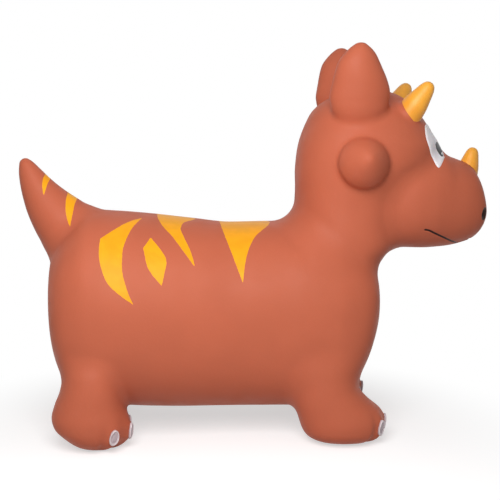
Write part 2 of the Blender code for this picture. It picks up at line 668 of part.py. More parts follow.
def make_valve(rubber, plug_material, guides):
    """A seat ring held by its flange inside the belly skin, and the stopper that pulls down out of it."""
    centre = (VALVE_X, 0, BELLY_HEIGHT)
    skin_top = WALL + SEAT_FLANGE_LIFT
    bore = PLUG_STEM_RADIUS + GAP
    recess = PLUG_HEAD_RADIUS + GAP
    flange_top = skin_top + SEAT_FLANGE_THICKNESS
    outside = (
        (SEAT_RADIUS, 0),
        (SEAT_RADIUS, skin_top),
        (SEAT_FLANGE_RADIUS, skin_top),
        (SEAT_FLANGE_RADIUS, flange_top),
        (SEAT_RADIUS - WALL, flange_top),
        (SEAT_RADIUS - WALL, SEAT_LENGTH),
    )
    inside = (
        (recess, -OVERRUN),
        (recess, SEAT_RECESS),
        (bore, SEAT_RECESS),
        (bore, SEAT_LENGTH + OVERRUN),
    )
    seat = add_piece("valve_seat", turned(outside, centre, VALVE_SEGMENTS), rubber)
    cut(seat, "DIFFERENCE", add_cutter("valve_bore", turned(inside, centre, VALVE_SEGMENTS)))
    head_top = SEAT_RECESS - GAP
    stopper = (
        (PLUG_HEAD_RADIUS, 0),
        (PLUG_HEAD_RADIUS, head_top),
        (PLUG_STEM_RADIUS, head_top),
        (PLUG_STEM_RADIUS, head_top + PLUG_STEM_LENGTH * PLUG_TAPER_START_SHARE),
        (PLUG_STEM_RADIUS * PLUG_TIP_SHARE, head_top + PLUG_STEM_LENGTH),
    )
    plug = add_piece("valve_plug", turned(stopper, centre, VALVE_SEGMENTS), plug_material, centre)
    grip = ((PLUG_GRIP_RADIUS, -OVERRUN), (PLUG_GRIP_RADIUS, PLUG_GRIP_DEPTH))
    cut(plug, "DIFFERENCE", add_cutter("plug_grip", turned(grip, centre, VALVE_SEGMENTS)))
    hole = rod(
        (VALVE_X, 0, BELLY_HEIGHT - OVERRUN), (0, 0, 1), SEAT_RADIUS + GAP, 2 * OVERRUN, VALVE_SEGMENTS
    )
    guides["valve_hole"] = add_cutter("valve_hole", hole)


def main():
    for item in list(bpy.data.objects):
        bpy.data.objects.remove(item)
    skin = make_material("soft_pvc_skin", SKIN_COLOUR, SKIN_ROUGHNESS)
    horn = make_material("soft_pvc_horn", HORN_COLOUR, PAINT_ROUGHNESS)
    claw = make_material("painted_claw", CLAW_COLOUR, PAINT_ROUGHNESS)
    rubber = make_material("soft_pvc_valve", VALVE_COLOUR, VALVE_ROUGHNESS)
    plug = make_material("stopper_plastic", PLUG_COLOUR, VALVE_ROUGHNESS)

    forms = {"torso": torso_form(), "head": head_form(), "snout": snout_form()}
    guides = {"head_holes": [], "folds": []}
    for name, form in forms.items():
        guides[name] = add_cutter(f"{name}_whole", form)
        guides[f"{name}_air"] = add_cutter(f"{name}_air", grown(form, -WALL))
    for name in ("head", "snout"):
        guides[f"{name}_outside"] = add_cutter(f"{name}_outside", grown(forms[name], GAP))

    for side_name in SIDES:
        make_ear(side_name, skin, guides)
    make_tail(skin, guides)
    make_knobs_and_horns(skin, horn, guides)
    make_legs(skin, claw, guides)
    make_valve(rubber, plug, guides)
    make_torso_and_head(skin, forms, guides)


main()
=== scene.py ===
"""Looks of the bouncy ride-on animal: a smooth soft PVC skin with painted stripes and face, horns, claws
and an air valve, on a plain pale floor. Lengths are in metres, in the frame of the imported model."""

from collections import namedtuple
from contextlib import contextmanager
from math import copysign, cos, pi, radians, sin, tan

import bmesh
import bpy
import numpy as np
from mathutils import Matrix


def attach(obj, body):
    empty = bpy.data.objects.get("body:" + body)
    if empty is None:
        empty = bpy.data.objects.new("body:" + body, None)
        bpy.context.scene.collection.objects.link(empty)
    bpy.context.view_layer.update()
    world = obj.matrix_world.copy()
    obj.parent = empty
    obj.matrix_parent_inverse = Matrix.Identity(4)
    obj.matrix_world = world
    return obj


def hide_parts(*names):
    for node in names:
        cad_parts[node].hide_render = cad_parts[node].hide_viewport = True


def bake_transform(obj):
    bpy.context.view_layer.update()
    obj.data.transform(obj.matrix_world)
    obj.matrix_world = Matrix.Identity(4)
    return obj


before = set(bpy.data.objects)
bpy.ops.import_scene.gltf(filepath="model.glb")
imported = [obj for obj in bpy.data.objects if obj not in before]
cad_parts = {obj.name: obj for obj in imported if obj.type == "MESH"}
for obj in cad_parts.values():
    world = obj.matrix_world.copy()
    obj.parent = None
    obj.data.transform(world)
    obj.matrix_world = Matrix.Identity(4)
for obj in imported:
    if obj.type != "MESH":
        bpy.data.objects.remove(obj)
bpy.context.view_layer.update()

import openvdb
from mathutils import Vector
from mathutils.bvhtree import BVHTree

# The moulded forms, as in the solids, with sizes as length, width and height
TORSO_SIZE = (0.387, 0.21, 0.217)
TORSO_PLACE = (-0.2445, 0.0305)
SNOUT_SIZE = (0.1435, 0.132, 0.124)
SNOUT_PLACE = (0.1315, 0.2155)
HEAD_SIZE = (0.15, 0.152, 0.219)
HEAD_PLACE = (0.1215, 0, 0.1865)
EAR_LENGTH = 0.062
EAR_WIDTH = 0.068
EAR_THICKNESS = 0.045
EAR_SPLAY = 0.011
EAR_PIVOT = Vector((0.1115, 0.052, 0.3945))
TAIL_ROOT_RADIUS = 0.038
TAIL_REACH = 0.055
TAIL_RISE = 0.0845
TAIL_PIVOT = Vector((-0.2175, 0.0, 0.2375))
KNOB_RADIUS = 0.029
KNOB_LENGTH = 0.048
KNOB_START = Vector((0.1135, 0.06, 0.3199))
KNOB_OUT = Vector((0.017, 1.0, 0.231)).normalized()
LEG_HEIGHT = 0.125
LEG_WIDTH = 0.083
LEG_Y = 0.07
LEG_SQUARENESS = 2.15
BROW_PAINT_EDGE = Vector((0.1602, 0.0445, 0.3938))
BROW_PAINT_NORMAL = Vector((0.791, 0.42, 0.612))
HORN_ROOT_DEPTH = 0.012
CLAW_WIDTH = 0.0108
CLAW_HEIGHT = 0.019
CLAW_Z = 0.0208
CLAW_COUNT = 3
VALVE_CENTRE = Vector((-0.05, 0.0, 0.0305))
VALVE_HOLE_RADIUS = 0.0112
SIDES = {"left": 1, "right": -1}

# Each horn's name and node, its base, its lean forward and outward in degrees, its length and radius
HORNS = (
    ("horn_brow_left", "brow_horn_left", (0.1768, 0.0445, 0.386), 32, 23, 0.0328, 0.0168),
    ("horn_brow_right", "brow_horn_right", (0.1768, -0.0445, 0.386), 32, -23, 0.0328, 0.0168),
    ("horn_nose", "nose_horn", (0.2566, 0, 0.315), 14, 0, 0.022, 0.0142),
)

# Radii where the moulded forms flow into each other
NECK_FILLET = 0.028
THROAT_FILLET = 0.009
SNOUT_FILLET = 0.0125
TAIL_FILLET = 0.01
KNOB_FILLET = 0.003
EAR_FILLET = 0.0065
HORN_FILLET = 0.003
JOIN_FILLET = 0.0022
HORN_SINK = 0.0004
NAPE_X = 0.06
THROAT_X = 0.11
REAR_SWELL = 0.001

# The tables of stations are in thousandths
TABLE_PARTS = 1000

# Stations from rump to chest: along the length, bottom and top of the height, half width, squareness
TORSO_SHARES = (
    (0, 615, 615, 0, 2000), (2, 530, 700, 280, 2000), (8, 360, 832, 590, 2100), (28, 210, 918, 780, 2200),
    (65, 100, 1005, 905, 2300), (128, 42, 1075, 990, 2250), (204, 18, 1068, 1010, 2200),
    (304, 7, 1052, 1000, 2200), (430, 0, 1025, 970, 2220), (555, 0, 1000, 945, 2300),
    (668, 0, 1001, 955, 2400), (756, 0, 993, 980, 2450), (844, 18, 972, 970, 2400),
    (907, 78, 940, 914, 2400), (952, 204, 885, 820, 2300), (980, 342, 820, 667, 2200),
    (995, 430, 747, 440, 2050), (1000, 515, 664, 210, 2000), (1002, 582, 582, 0, 2000),
)

# Stations up the neck and skull: height, back and front of the length, half width, squareness
HEAD_SHARES = (
    (0, -520, 90, 900, 2300), (110, -515, 205, 950, 2300), (200, -510, 297, 950, 2300),
    (300, -503, 305, 935, 2300), (390, -498, 325, 925, 2300), (470, -494, 380, 940, 2300),
    (550, -497, 490, 975, 2300), (630, -489, 590, 1000, 2300), (705, -472, 616, 985, 2300),
    (765, -445, 568, 945, 2300), (820, -412, 520, 870, 2300), (870, -375, 468, 770, 2300),
    (920, -305, 400, 630, 2250), (962, -200, 325, 445, 2150), (988, -90, 230, 250, 2050),
    (1000, 0, 140, 100, 2000), (1002, 55, 55, 0, 2000),
)

# Stations from skull to nose: along the length, bottom and top of the height, half width, squareness
SNOUT_SHARES = (
    (0, 140, 860, 730, 2200), (170, 26, 940, 940, 2300), (340, 18, 966, 1000, 2400),
    (476, 13, 977, 970, 2400), (585, 19, 964, 910, 2400), (680, 30, 900, 850, 2400),
    (782, 55, 856, 785, 2350), (871, 90, 795, 700, 2300), (932, 148, 680, 600, 2250),
    (966, 215, 550, 480, 2200), (990, 300, 446, 320, 2100), (1000, 370, 420, 150, 2000),
    (1003, 402, 402, 0, 2000),
)

# Stations up each leg: height, back and front of the length, half width, inward shift
FRONT_LEG_SHARES = (
    (0, -240, 270, 360, 0), (24, -330, 365, 630, 0), (72, -427, 435, 865, 0), (128, -470, 458, 970, 0),
    (208, -502, 470, 1000, 0), (290, -532, 422, 975, 0), (400, -566, 270, 930, 0), (528, -588, 152, 885, 0),
    (680, -606, 118, 835, 0), (880, -606, 125, 700, 70), (1000, -510, 60, 460, 140),
)
REAR_LEG_SHARES = (
    (0, -100, 300, 340, 0), (24, -195, 365, 535, 0), (72, -290, 447, 760, 0), (128, -382, 503, 895, 0),
    (208, -480, 510, 975, 0), (290, -504, 466, 1000, 0), (400, -466, 406, 975, 0), (528, -396, 380, 950, 0),
    (680, -348, 375, 885, 0), (880, -325, 400, 745, 70), (1000, -233, 300, 460, 140),
)

# Each pair of legs. The stretch of skin that bends is cut off square to way at the first of the two ends of
# bend, within box_x
Legs = namedtuple("Legs", "end x length shares fillet paw_x claw_turn toe_out way bend box_x")
LEGS = (
    Legs(
        "front", 0.095, 0.104, FRONT_LEG_SHARES, 0.013, 0.09344, radians(31), radians(-1),
        (0.35, 0.55, -0.76), (0.012, 0.045), (0.0, 0.2),
    ),
    Legs(
        "rear", -0.1955, 0.09, REAR_LEG_SHARES, 0.009, -0.197525, radians(37), radians(12),
        (-0.35, 0.55, -0.76), (0.042, 0.068), (-0.3, -0.1),
    ),
)

# Stations up each ear: height, backward shift and half of the width, half thickness
EAR_SHARES = (
    (0, 0, 1000, 1000), (145, 10, 985, 995), (340, -4, 905, 960), (516, -25, 796, 880),
    (677, -38, 672, 770), (820, -25, 500, 600), (935, -22, 285, 370), (1000, -15, 90, 120),
    (1004, -15, 0, 0),
)

# Stations out along the tail: reach, rise, radius as a share of the root's
TAIL_SHARES = (
    (0, 0, 930), (270, 200, 860), (520, 410, 700), (725, 630, 520), (870, 825, 365), (955, 955, 240),
    (1020, 1040, 85), (1025, 1046, 0),
)

# Stations out along a knob and up a horn: length, radius
KNOB_SHARES = (
    (0, 1000), (330, 1000), (520, 880), (700, 680), (850, 450), (950, 240), (1000, 80), (1004, 0),
)
HORN_SHARES = (
    (0, 940), (330, 840), (620, 660), (850, 490), (960, 310), (1000, 110), (1004, 0),
)

# Fineness of the skin
VOXEL = 0.0022
BAND = 9
WIDE_BAND = 15
RING_POINTS = 96
RING_COUNT = 90
GRID_LOW = (-0.305, -0.135, -0.026)
GRID_HIGH_X = 0.31
GRID_HIGH_Z = 0.485

# The other stretches that bend, and the boxes that hold them
TAIL_WAY = (-0.55, 0.0, 0.83)
TAIL_BEND = (0.004, 0.04)
TAIL_BOX = ((-1, -1, 0.2), (-0.15, 1, 1))
EAR_WAY = (0, 0.54, 0.84)
EAR_BEND = (0.3535, 0.3775)
EAR_BOX_X = (0.05, 0.18)
EAR_BOX_Z = (0.36, 1)
LEG_BOX_Z = (-1, 0.12)

# A raised claw's shares of the half size and heights, and the valve's radii and heights in tenths of a
# millimetre
CLAW_RISES = (
    (0.00, 0.0008), (0.4, 0.0007), (0.6, 0.0006), (0.7, 0.0012), (0.78, 0.0022), (0.87, 0.0023),
    (0.94, 0.0014), (0.98, 0.0004), (1.00, -0.0008),
)
SEAT_PROFILE = (
    (144, 6), (147, -2), (142, -10), (130, -14), (112, -14), (100, -10), (95, -2), (95, 24), (92, 26),
    (53, 26), (53, 158), (56, 160), (93, 160), (95, 158), (95, 63), (178, 63), (180, 61), (180, 43),
    (178, 41), (120, 41), (120, 10),
)
STOPPER_PROFILE = (
    (0, 11), (34, 11), (39, 8), (41, 1), (46, -3), (60, -4), (80, -3), (89, 1), (92, 6), (92, 20), (89, 23),
    (52, 23), (50, 26), (50, 164), (46, 180), (36, 201), (30, 203), (0, 203),
)

# The photograph's frame and camera
PHOTO_PIXELS = 500
LENS = 72.0
SENSOR = 36.0
CAMERA_TARGET = Vector((-0.0085, 0.0, 0.215))
CAMERA_DISTANCE = 1.2
CAMERA_AZIMUTH = radians(-4.8)
CAMERA_ELEVATION = radians(8.5)

# Outlines of the stripes, read from the photograph: columns and rows of its pixels in turn
STRIPES = (
    (142, 218, 133, 220.3, 124, 224, 112, 231, 100.2, 238.6, 99, 248, 99, 257, 100.3, 265, 103.6, 275.7,
     107.6, 283.8, 118, 294, 133.5, 305, 129.4, 296.4, 125.2, 284.3, 122.4, 273, 122, 259, 123.2, 247.6,
     127.1, 237.3, 133, 227),
    (150.6, 237.5, 143.2, 248.2, 145.2, 258, 148, 268.3, 161.8, 286.3, 164.5, 273, 166.4, 260.4, 161.6, 251),
    (157, 213, 157.9, 217.7, 161.6, 224.6, 173, 237.3, 185.7, 254.5, 195, 267, 192.6, 257, 189, 247.6,
     183.4, 236, 180.5, 229, 182.3, 224, 187, 221.4, 196, 218.7, 204, 210, 156, 205),
    (219.6, 221.4, 223.6, 232.7, 230.5, 250, 237.4, 268.3, 243.1, 283.5, 244.3, 270.6, 246.5, 257,
     250, 246.4, 255.7, 236, 262.6, 229.8, 269, 224, 270.3, 220.3, 271, 208, 217, 208),
    (45, 174.5, 43.2, 178, 42.3, 184.3, 42.7, 191.2, 43.7, 196.4, 45.3, 190.6, 47.6, 183.7, 50.4, 178.8,
     56, 172, 49, 166),
    (68, 192.4, 66.2, 198.6, 65.6, 210, 67, 219, 70, 227, 71.5, 219, 73.4, 210, 75.1, 203, 77.4, 198.4,
     82, 190, 72, 184),
)
PIXEL_SIZE = 0.0012
GENTLE_TURN = radians(42)
CURVE_STEPS = 5

# The face: pixels again, or outward and upward places in a front view
NOSTRIL_PIXEL = (484.9, 213.8)
NOSTRIL_HALF = (0.0068, 0.008)
MOUTH_PIXELS = (
    425.3, 229.9, 428, 230.3, 434, 233, 443, 237.2, 450.8, 240.9, 454.5, 242.1, 458, 242.4,
)
MOUTH_UNDER_PLACES = ((0.25, -0.024), (0.257, -0.012), (0.259, 0.0))
EYE_PIXELS = (
    426.6, 123.9, 425.3, 125.2, 425, 128.9, 425.5, 135, 427.5, 142.6, 429.8, 150.3, 432.8, 158.7,
    435.9, 164.8, 438.2, 167.6, 440, 166.9, 442.2, 163, 444, 158.6, 445, 155.6,
)
EYE_INNER_PLACES = (
    (0.037, 0.327), (0.029, 0.331), (0.021, 0.337), (0.0145, 0.345), (0.013, 0.355),
    (0.0185, 0.364),
)
PUPIL_PIXELS = (
    435.9, 142.3, 435, 144.6, 435.6, 148.2, 437.4, 152.2, 439.8, 155.6, 442, 156.8, 442.6, 154.6,
    441.4, 150.6, 439.2, 146, 437.4, 143.2,
)
GLINT_PIXELS = (
    441.6, 152.3, 440.9, 153.4, 441.2, 154.7, 442, 155, 442.3, 153.8,
)
EYE_STEPS = 96
EYE_REACH = 0.045
FRONT_START = 1.0
MOUTH_STEPS = 60
MOUTH_HALF_WIDTH = 0.0013
MOUTH_LOW_X = 0.15
MOUTH_LOW_Z = 0.19
MOUTH_HIGH_Z = 0.26
FAR_MARK = 0.02
STRIPE_MARGIN = 14

# How far each mark of the face is raised, between two distances, then the toes and the fineness
FACE_RISES = (
    ("eye", 0.0007, -0.0016, 0), ("nostril", -0.0048, -NOSTRIL_HALF[0], 0.001),
    ("mouth", -0.0007, -MOUTH_HALF_WIDTH, 0.0012),
)
TOE_DEPTH = 0.003
TOE_REACH = (0.018, 0.034)
TOE_Z = (0.016, 0.048)
TOE_AHEAD = (-0.09, -0.07)
TOE_FAN_TURNS = (1.3, 1.8)
STRIPE_BAND = 0.0024
FACE_BAND = 0.0018
CUT_SNAP = 0.00002
CUT_VOXELS = 3
HORN_RINGS = 60
HORN_POINTS = 64
CLAW_RINGS = 22
CLAW_POINTS = 48
VALVE_POINTS = 64
PROFILE_PARTS = 10000
VALVE_CREASE = radians(50)

# Colours as linear light
SKIN_COLOUR = (0.53, 0.13, 0.067)
SKIN_DARK = (0.33, 0.07, 0.034)
YELLOW_COLOUR = (0.93, 0.39, 0.01)
HORN_COLOUR = (0.93, 0.41, 0.04)
HORN_ROOT_COLOUR = (0.84, 0.33, 0.025)
EYE_COLOUR = (0.93, 0.885, 0.915)
PUPIL_COLOUR = (0.008, 0.008, 0.011)
NOSTRIL_COLOUR = (0.03, 0.01, 0.006)
MOUTH_COLOUR = (0.016, 0.004, 0.003)
CLAW_COLOUR = (0.74, 0.65, 0.67)
# The claws darken towards this grey-pink inside their rims: painted shade in the recess
CLAW_HOLLOW_SHADE_COLOUR = (0.46, 0.35, 0.38)
SEAT_COLOUR = (0.64, 0.64, 0.63)
STOPPER_COLOUR = (0.8, 0.8, 0.78)
FLOOR_COLOUR = (0.6, 0.6, 0.6)
PAINT_FEATHER = 0.00015
CLOUD_SPAN = (0.3, 0.7)

# The studio
AMBIENT_LEVEL = 0.23
SHADOW_RADIUS = 0.22
SHADOW_MIDDLE = (-0.05, -0.09, 0.0)
FLOOR_LIFT = 0.57
FLOOR_HALF = 12.0
FLOOR_DROP = 0.0003
LIGHT_TARGET = Vector((-0.09, 0.0, 0.185))

# Each lamp: its name, azimuth from the camera's and elevation in degrees, distance, size and watts
LAMPS = (
    ("key", 0, 31, 0.8, 0.5, 5.9),
    ("top", 0, 85, 1.8, 1.4, 1.0),
)


def lengths(vectors):
    return np.linalg.norm(vectors, axis=1)


def cubic(share, start, leaving, end, arriving):
    """The curve between two values with the given slopes at them."""
    squared = share * share
    cubed = squared * share
    return (
        start * (2 * cubed - 3 * squared + 1) + leaving * (cubed - 2 * squared + share)
        + end * (3 * squared - 2 * cubed) + arriving * (cubed - squared)
    )


def smooth_curve(knots, values, at):
    """Monotone cubic interpolation of columns of values at the knots."""
    steps = np.diff(knots)[:, None]
    slopes = np.diff(values, axis=0) / steps
    same_way = slopes[:-1] * slopes[1:] > 0
    before, after = (np.where(same_way, slope, 1.0) for slope in (slopes[:-1], slopes[1:]))
    low = 2 * steps[1:] + steps[:-1]
    high = steps[1:] + 2 * steps[:-1]
    middle = np.where(same_way, (low + high) / (low / before + high / after), 0.0)
    tangents = np.concatenate([slopes[:1], middle, slopes[-1:]])
    index = np.clip(np.searchsorted(knots, at, side="right") - 1, 0, len(knots) - 2)
    width = steps[index]
    share = ((at - knots[index]) / width[:, 0])[:, None]
    after = index + 1
    return cubic(share, values[index], tangents[index] * width, values[after], tangents[after] * width)


def dense_stations(table, count=RING_COUNT, round_ends=True):
    """A table's stations, smoothly filled in, with round ends sampled by the angle of a half turn."""
    table = np.asarray(table, float) / TABLE_PARTS
    along = (table[:, 0] - table[0, 0]) / (table[-1, 0] - table[0, 0])
    if round_ends:
        along = np.arccos(1 - 2 * along) / pi
    return smooth_curve(along, table, np.linspace(0, 1, count))


def ellipse_rings(centres, across, up, squareness, count=RING_POINTS):
    """Rings of points. Centres and half axes are given by x, y and z, each a column or one number."""
    size = max(np.size(value) for value in centres)
    angle = 2 * pi * (np.arange(count) + 0.5) / count
    power = 2 / np.broadcast_to(squareness, size)[:, None]
    along = np.sign(np.cos(angle)) * np.abs(np.cos(angle)) ** power
    above = np.sign(np.sin(angle)) * np.abs(np.sin(angle)) ** power
    centres, across, up = (
        np.stack([np.broadcast_to(value, size) for value in vectors], axis=1)[:, None]
        for vectors in (centres, across, up)
    )
    return centres + across * along[..., None] + up * above[..., None]


def fan_faces(tip, ring, count):
    """Triangles between a point and a ring that starts at another."""
    return [(tip, ring + i, ring + (i + 1) % count) for i in range(count)]


def band_faces(low, high, count):
    """Quads between two rings that start at the given points."""
    return [(low + i, low + (i + 1) % count, high + (i + 1) % count, high + i) for i in range(count)]


def loft(rings):
    count, size = rings.shape[:2]
    points = np.concatenate([rings.reshape(-1, 3), rings[:1].mean(axis=1), rings[-1:].mean(axis=1)])
    tips = count * size
    quads = [face for low in range(0, tips - size, size) for face in band_faces(low, low + size, size)]
    low_cap = [face[::-1] for face in fan_faces(tips, 0, size)]
    return points, quads, low_cap + fan_faces(tips + 1, tips - size, size)


def lying_rings(shares, rear_x, bottom_z, length, width, height):
    along, bottom, top, half, squareness = dense_stations(shares).T
    centres = (rear_x + along * length, 0, bottom_z + (bottom + top) / 2 * height)
    return ellipse_rings(centres, (0, half * width / 2, 0), (0, 0, (top - bottom) / 2 * height), squareness)


def standing_rings(stations, x, y, z, length, width, height, squareness):
    up, back, front, half, _ = stations
    centres = (x + (back + front) / 2 * length, y, z + up * height)
    return ellipse_rings(centres, ((front - back) / 2 * length, 0, 0), (0, half * width / 2, 0), squareness)


def head_rings():
    stations = dense_stations(HEAD_SHARES).T
    return standing_rings(stations, *HEAD_PLACE, *HEAD_SIZE, stations[-1])


def leg_rings(legs):
    stations = dense_stations(legs.shares, round_ends=False).T
    y = LEG_Y - stations[-1] * LEG_WIDTH
    return standing_rings(stations, legs.x, y, 0, legs.length, LEG_WIDTH, LEG_HEIGHT, LEG_SQUARENESS)


def ear_rings():
    up, shift, half, thick = dense_stations(EAR_SHARES).T
    centres = (EAR_PIVOT.x + shift * EAR_WIDTH, EAR_PIVOT.y + up * EAR_SPLAY, EAR_PIVOT.z + up * EAR_LENGTH)
    return ellipse_rings(centres, (half * EAR_WIDTH / 2, 0, 0), (0, thick * EAR_THICKNESS / 2, 0), 2)


def tail_rings():
    out, up, size = dense_stations(TAIL_SHARES).T
    centres = (TAIL_PIVOT.x - out * TAIL_REACH, 0 * out, TAIL_PIVOT.z + up * TAIL_RISE)
    along = np.gradient(centres, axis=1)
    along /= np.linalg.norm(along, axis=0)
    radius = size * TAIL_ROOT_RADIUS
    return ellipse_rings(centres, np.cross(along.T, (0, 1, 0)).T * radius, (0, radius, 0), 2)


def cone_rings(start, direction, length, shares, radius, count=RING_COUNT, points=RING_POINTS):
    along, size = dense_stations(shares, count).T
    axis = Vector(direction).normalized()
    across = axis.orthogonal().normalized()
    up = axis.cross(across)
    centres, across, up = (
        np.outer(vector, size) for vector, size in ((axis, along), (across, size), (up, size))
    )
    return ellipse_rings(
        np.array(start)[:, None] + centres * length, across * radius, up * radius, 2, points
    )


def ball_rings(centre, half_x, half_y, half_z):
    angle = np.linspace(0, pi, RING_COUNT)
    centres = (centre[0], centre[1], centre[2] - half_z * np.cos(angle))
    return ellipse_rings(centres, (half_x * np.sin(angle), 0, 0), (0, half_y * np.sin(angle), 0), 2)


class SkinField:
    """Distances to the skin on a grid of points, even about the middle plane."""

    low = np.floor(np.array(GRID_LOW) / VOXEL).astype(int)
    high = np.array((int(GRID_HIGH_X / VOXEL), -low[1], int(GRID_HIGH_Z / VOXEL)))
    corner = tuple(int(i) for i in low)
    reach = BAND * VOXEL

    def __init__(self, values):
        self.values = values

    @classmethod
    def of(cls, rings, band=BAND):
        """The field of one closed form, with true distances as far as band steps away."""
        points, quads, triangles = loft(rings)
        grid = openvdb.FloatGrid.createLevelSetFromPolygons(
            points.astype(np.float32),
            triangles=np.array(triangles, np.uint32),
            quads=np.array(quads, np.uint32),
            transform=openvdb.createLinearTransform(voxelSize=VOXEL),
            halfWidth=float(band),
        )
        values = np.full(cls.high - cls.low + 1, band * VOXEL, np.float32)
        grid.copyToArray(values, ijk=cls.corner)
        return cls(values)

    def both_sides(self):
        return SkinField(np.minimum(self.values, self.values[:, ::-1]))

    def swollen(self, distance):
        return SkinField((self.values - distance).astype(np.float32))

    def joined(self, other, fillet):
        """The union of two forms with a round fillet between them."""
        near = np.maximum(fillet - self.values, 0)
        far = np.maximum(fillet - other.values, 0)
        apart = np.maximum(fillet, np.minimum(self.values, other.values))
        return SkinField((apart - np.sqrt(near * near + far * far)).astype(np.float32))

    def softened(self):
        values = self.values
        for axis in range(3):
            padded = np.pad(np.moveaxis(values, axis, 0), ((1, 1), (0, 0), (0, 0)), mode="edge")
            values = np.moveaxis((padded[:-2] + 2 * padded[1:-1] + padded[2:]) / 4, 0, axis)
        return SkinField(np.ascontiguousarray(values, np.float32))

    def places(self, axis):
        return (self.low[axis] + np.arange(self.values.shape[axis])) * VOXEL

    def surface(self):
        grid = openvdb.FloatGrid(float(self.reach))
        grid.copyFromArray(self.values, ijk=self.corner)
        grid.transform = openvdb.createLinearTransform(voxelSize=VOXEL)
        points, quads = grid.convertToQuads()
        return np.asarray(points, float), np.asarray(quads)

    def sampled(self, points):
        place = points / VOXEL - self.low
        cell = np.clip(np.floor(place).astype(int), 0, np.array(self.values.shape) - 2)
        share = place - cell
        distance = np.zeros(len(points))
        slope = np.zeros((len(points), 3))
        for corner in np.ndindex(2, 2, 2):
            weights = np.where(corner, share, 1 - share).T
            value = self.values[tuple((cell + corner).T)]
            distance += value * weights[0] * weights[1] * weights[2]
            for i in range(3):
                sign = 2 * corner[i] - 1
                slope[:, i] += sign * value * weights[(i + 1) % 3] * weights[(i + 2) % 3] / VOXEL
        return distance, slope

    def settled(self, points, rounds=2):
        for _ in range(rounds):
            distance, slope = self.sampled(points)
            size = np.maximum((slope * slope).sum(axis=1), 0.25)
            points = points - slope * (distance / size)[:, None]
        return points


def make_skin_field():
    head = SkinField.of(head_rings(), WIDE_BAND)
    snout = SkinField.of(lying_rings(SNOUT_SHARES, *SNOUT_PLACE, *SNOUT_SIZE), WIDE_BAND)
    skull = head.joined(snout, SNOUT_FILLET)
    torso = SkinField.of(lying_rings(TORSO_SHARES, *TORSO_PLACE, *TORSO_SIZE), WIDE_BAND)
    ahead = np.clip((torso.places(0) - NAPE_X) / (THROAT_X - NAPE_X), 0, 1)[:, None, None]
    neck_fillet = NECK_FILLET + (THROAT_FILLET - NECK_FILLET) * ahead
    swell = REAR_SWELL * (1 - ahead)
    whole = torso.swollen(swell).joined(skull.swollen(swell), neck_fillet)
    knob = SkinField.of(cone_rings(KNOB_START, KNOB_OUT, KNOB_LENGTH, KNOB_SHARES, KNOB_RADIUS))
    whole = whole.joined(knob.both_sides(), KNOB_FILLET)
    for legs in LEGS:
        whole = whole.joined(SkinField.of(leg_rings(legs)).both_sides(), legs.fillet)
    tail_ball = ball_rings(TAIL_PIVOT, TAIL_ROOT_RADIUS, TAIL_ROOT_RADIUS, TAIL_ROOT_RADIUS)
    tail = SkinField.of(tail_rings()).joined(SkinField.of(tail_ball), JOIN_FILLET)
    whole = whole.joined(tail, TAIL_FILLET)
    ear_ball = ball_rings(EAR_PIVOT, EAR_WIDTH / 2, EAR_THICKNESS / 2, EAR_WIDTH / 2)
    ear = SkinField.of(ear_rings()).joined(SkinField.of(ear_ball), JOIN_FILLET)
    whole = whole.joined(ear.both_sides(), EAR_FILLET)
    for name, _, base, axis, length, radius in horn_places():
        if not name.endswith("right"):
            root = base - axis * HORN_ROOT_DEPTH
            horn = SkinField.of(cone_rings(root, axis, length, HORN_SHARES, radius - HORN_SINK))
            whole = whole.joined(horn.both_sides(), HORN_FILLET)
    whole = whole.softened()
    floor = np.maximum(-whole.places(2), -SkinField.reach)
    return SkinField(np.maximum(whole.values, floor[None, None, :]).astype(np.float32))


def side_way(turn, rise):
    """The way out from the toy's right side, turned and raised."""
    return Vector((sin(turn) * cos(rise), -cos(turn) * cos(rise), sin(rise)))


def camera_axes():
    """The photograph's camera: its place, right, up and forward."""
    ahead = -side_way(CAMERA_AZIMUTH, CAMERA_ELEVATION)
    right = Vector((cos(CAMERA_AZIMUTH), sin(CAMERA_AZIMUTH), 0))
    return CAMERA_TARGET - ahead * CAMERA_DISTANCE, right, right.cross(ahead), ahead


def near_side(points):
    return points * (1, 0, 1) - np.abs(points) * (0, 1, 0)


def line_gaps(points, start, end):
    run = end - start
    share = np.clip((points - start) @ run / (run @ run), 0, 1)
    return lengths(points - start - share[:, None] * run)


def photo_pixels(points):
    """Where points of the near side, or their mirror images on the far side, lie in the photograph."""
    place, right, up, ahead = (np.array(axis) for axis in camera_axes())
    near = near_side(points) - place
    scale = LENS / SENSOR * PHOTO_PIXELS / (near @ ahead)
    centre = PHOTO_PIXELS / 2
    return np.stack([centre + near @ right * scale, centre - near @ up * scale], axis=1)


def curved_outline(outline):
    """A closed outline with its gentle corners curved and its sharp ones kept."""
    points = np.reshape(outline, (-1, 2))
    after = np.roll(points, -1, axis=0)
    sizes = lengths(after - points)[:, None]
    ways = (after - points) / sizes
    ways_before = np.roll(ways, 1, axis=0)
    gentle = ((ways * ways_before).sum(axis=1) > cos(GENTLE_TURN))[:, None]
    middle = ways + ways_before
    middle /= np.maximum(lengths(middle), 1e-6)[:, None]
    leaving = np.where(gentle, middle, ways) * sizes
    arriving = np.roll(np.where(gentle, middle, ways_before), -1, axis=0) * sizes
    steps = (np.arange(CURVE_STEPS) / CURVE_STEPS)[:, None, None]
    return cubic(steps, points, leaving, after, arriving).swapaxes(0, 1).reshape(-1, 2)


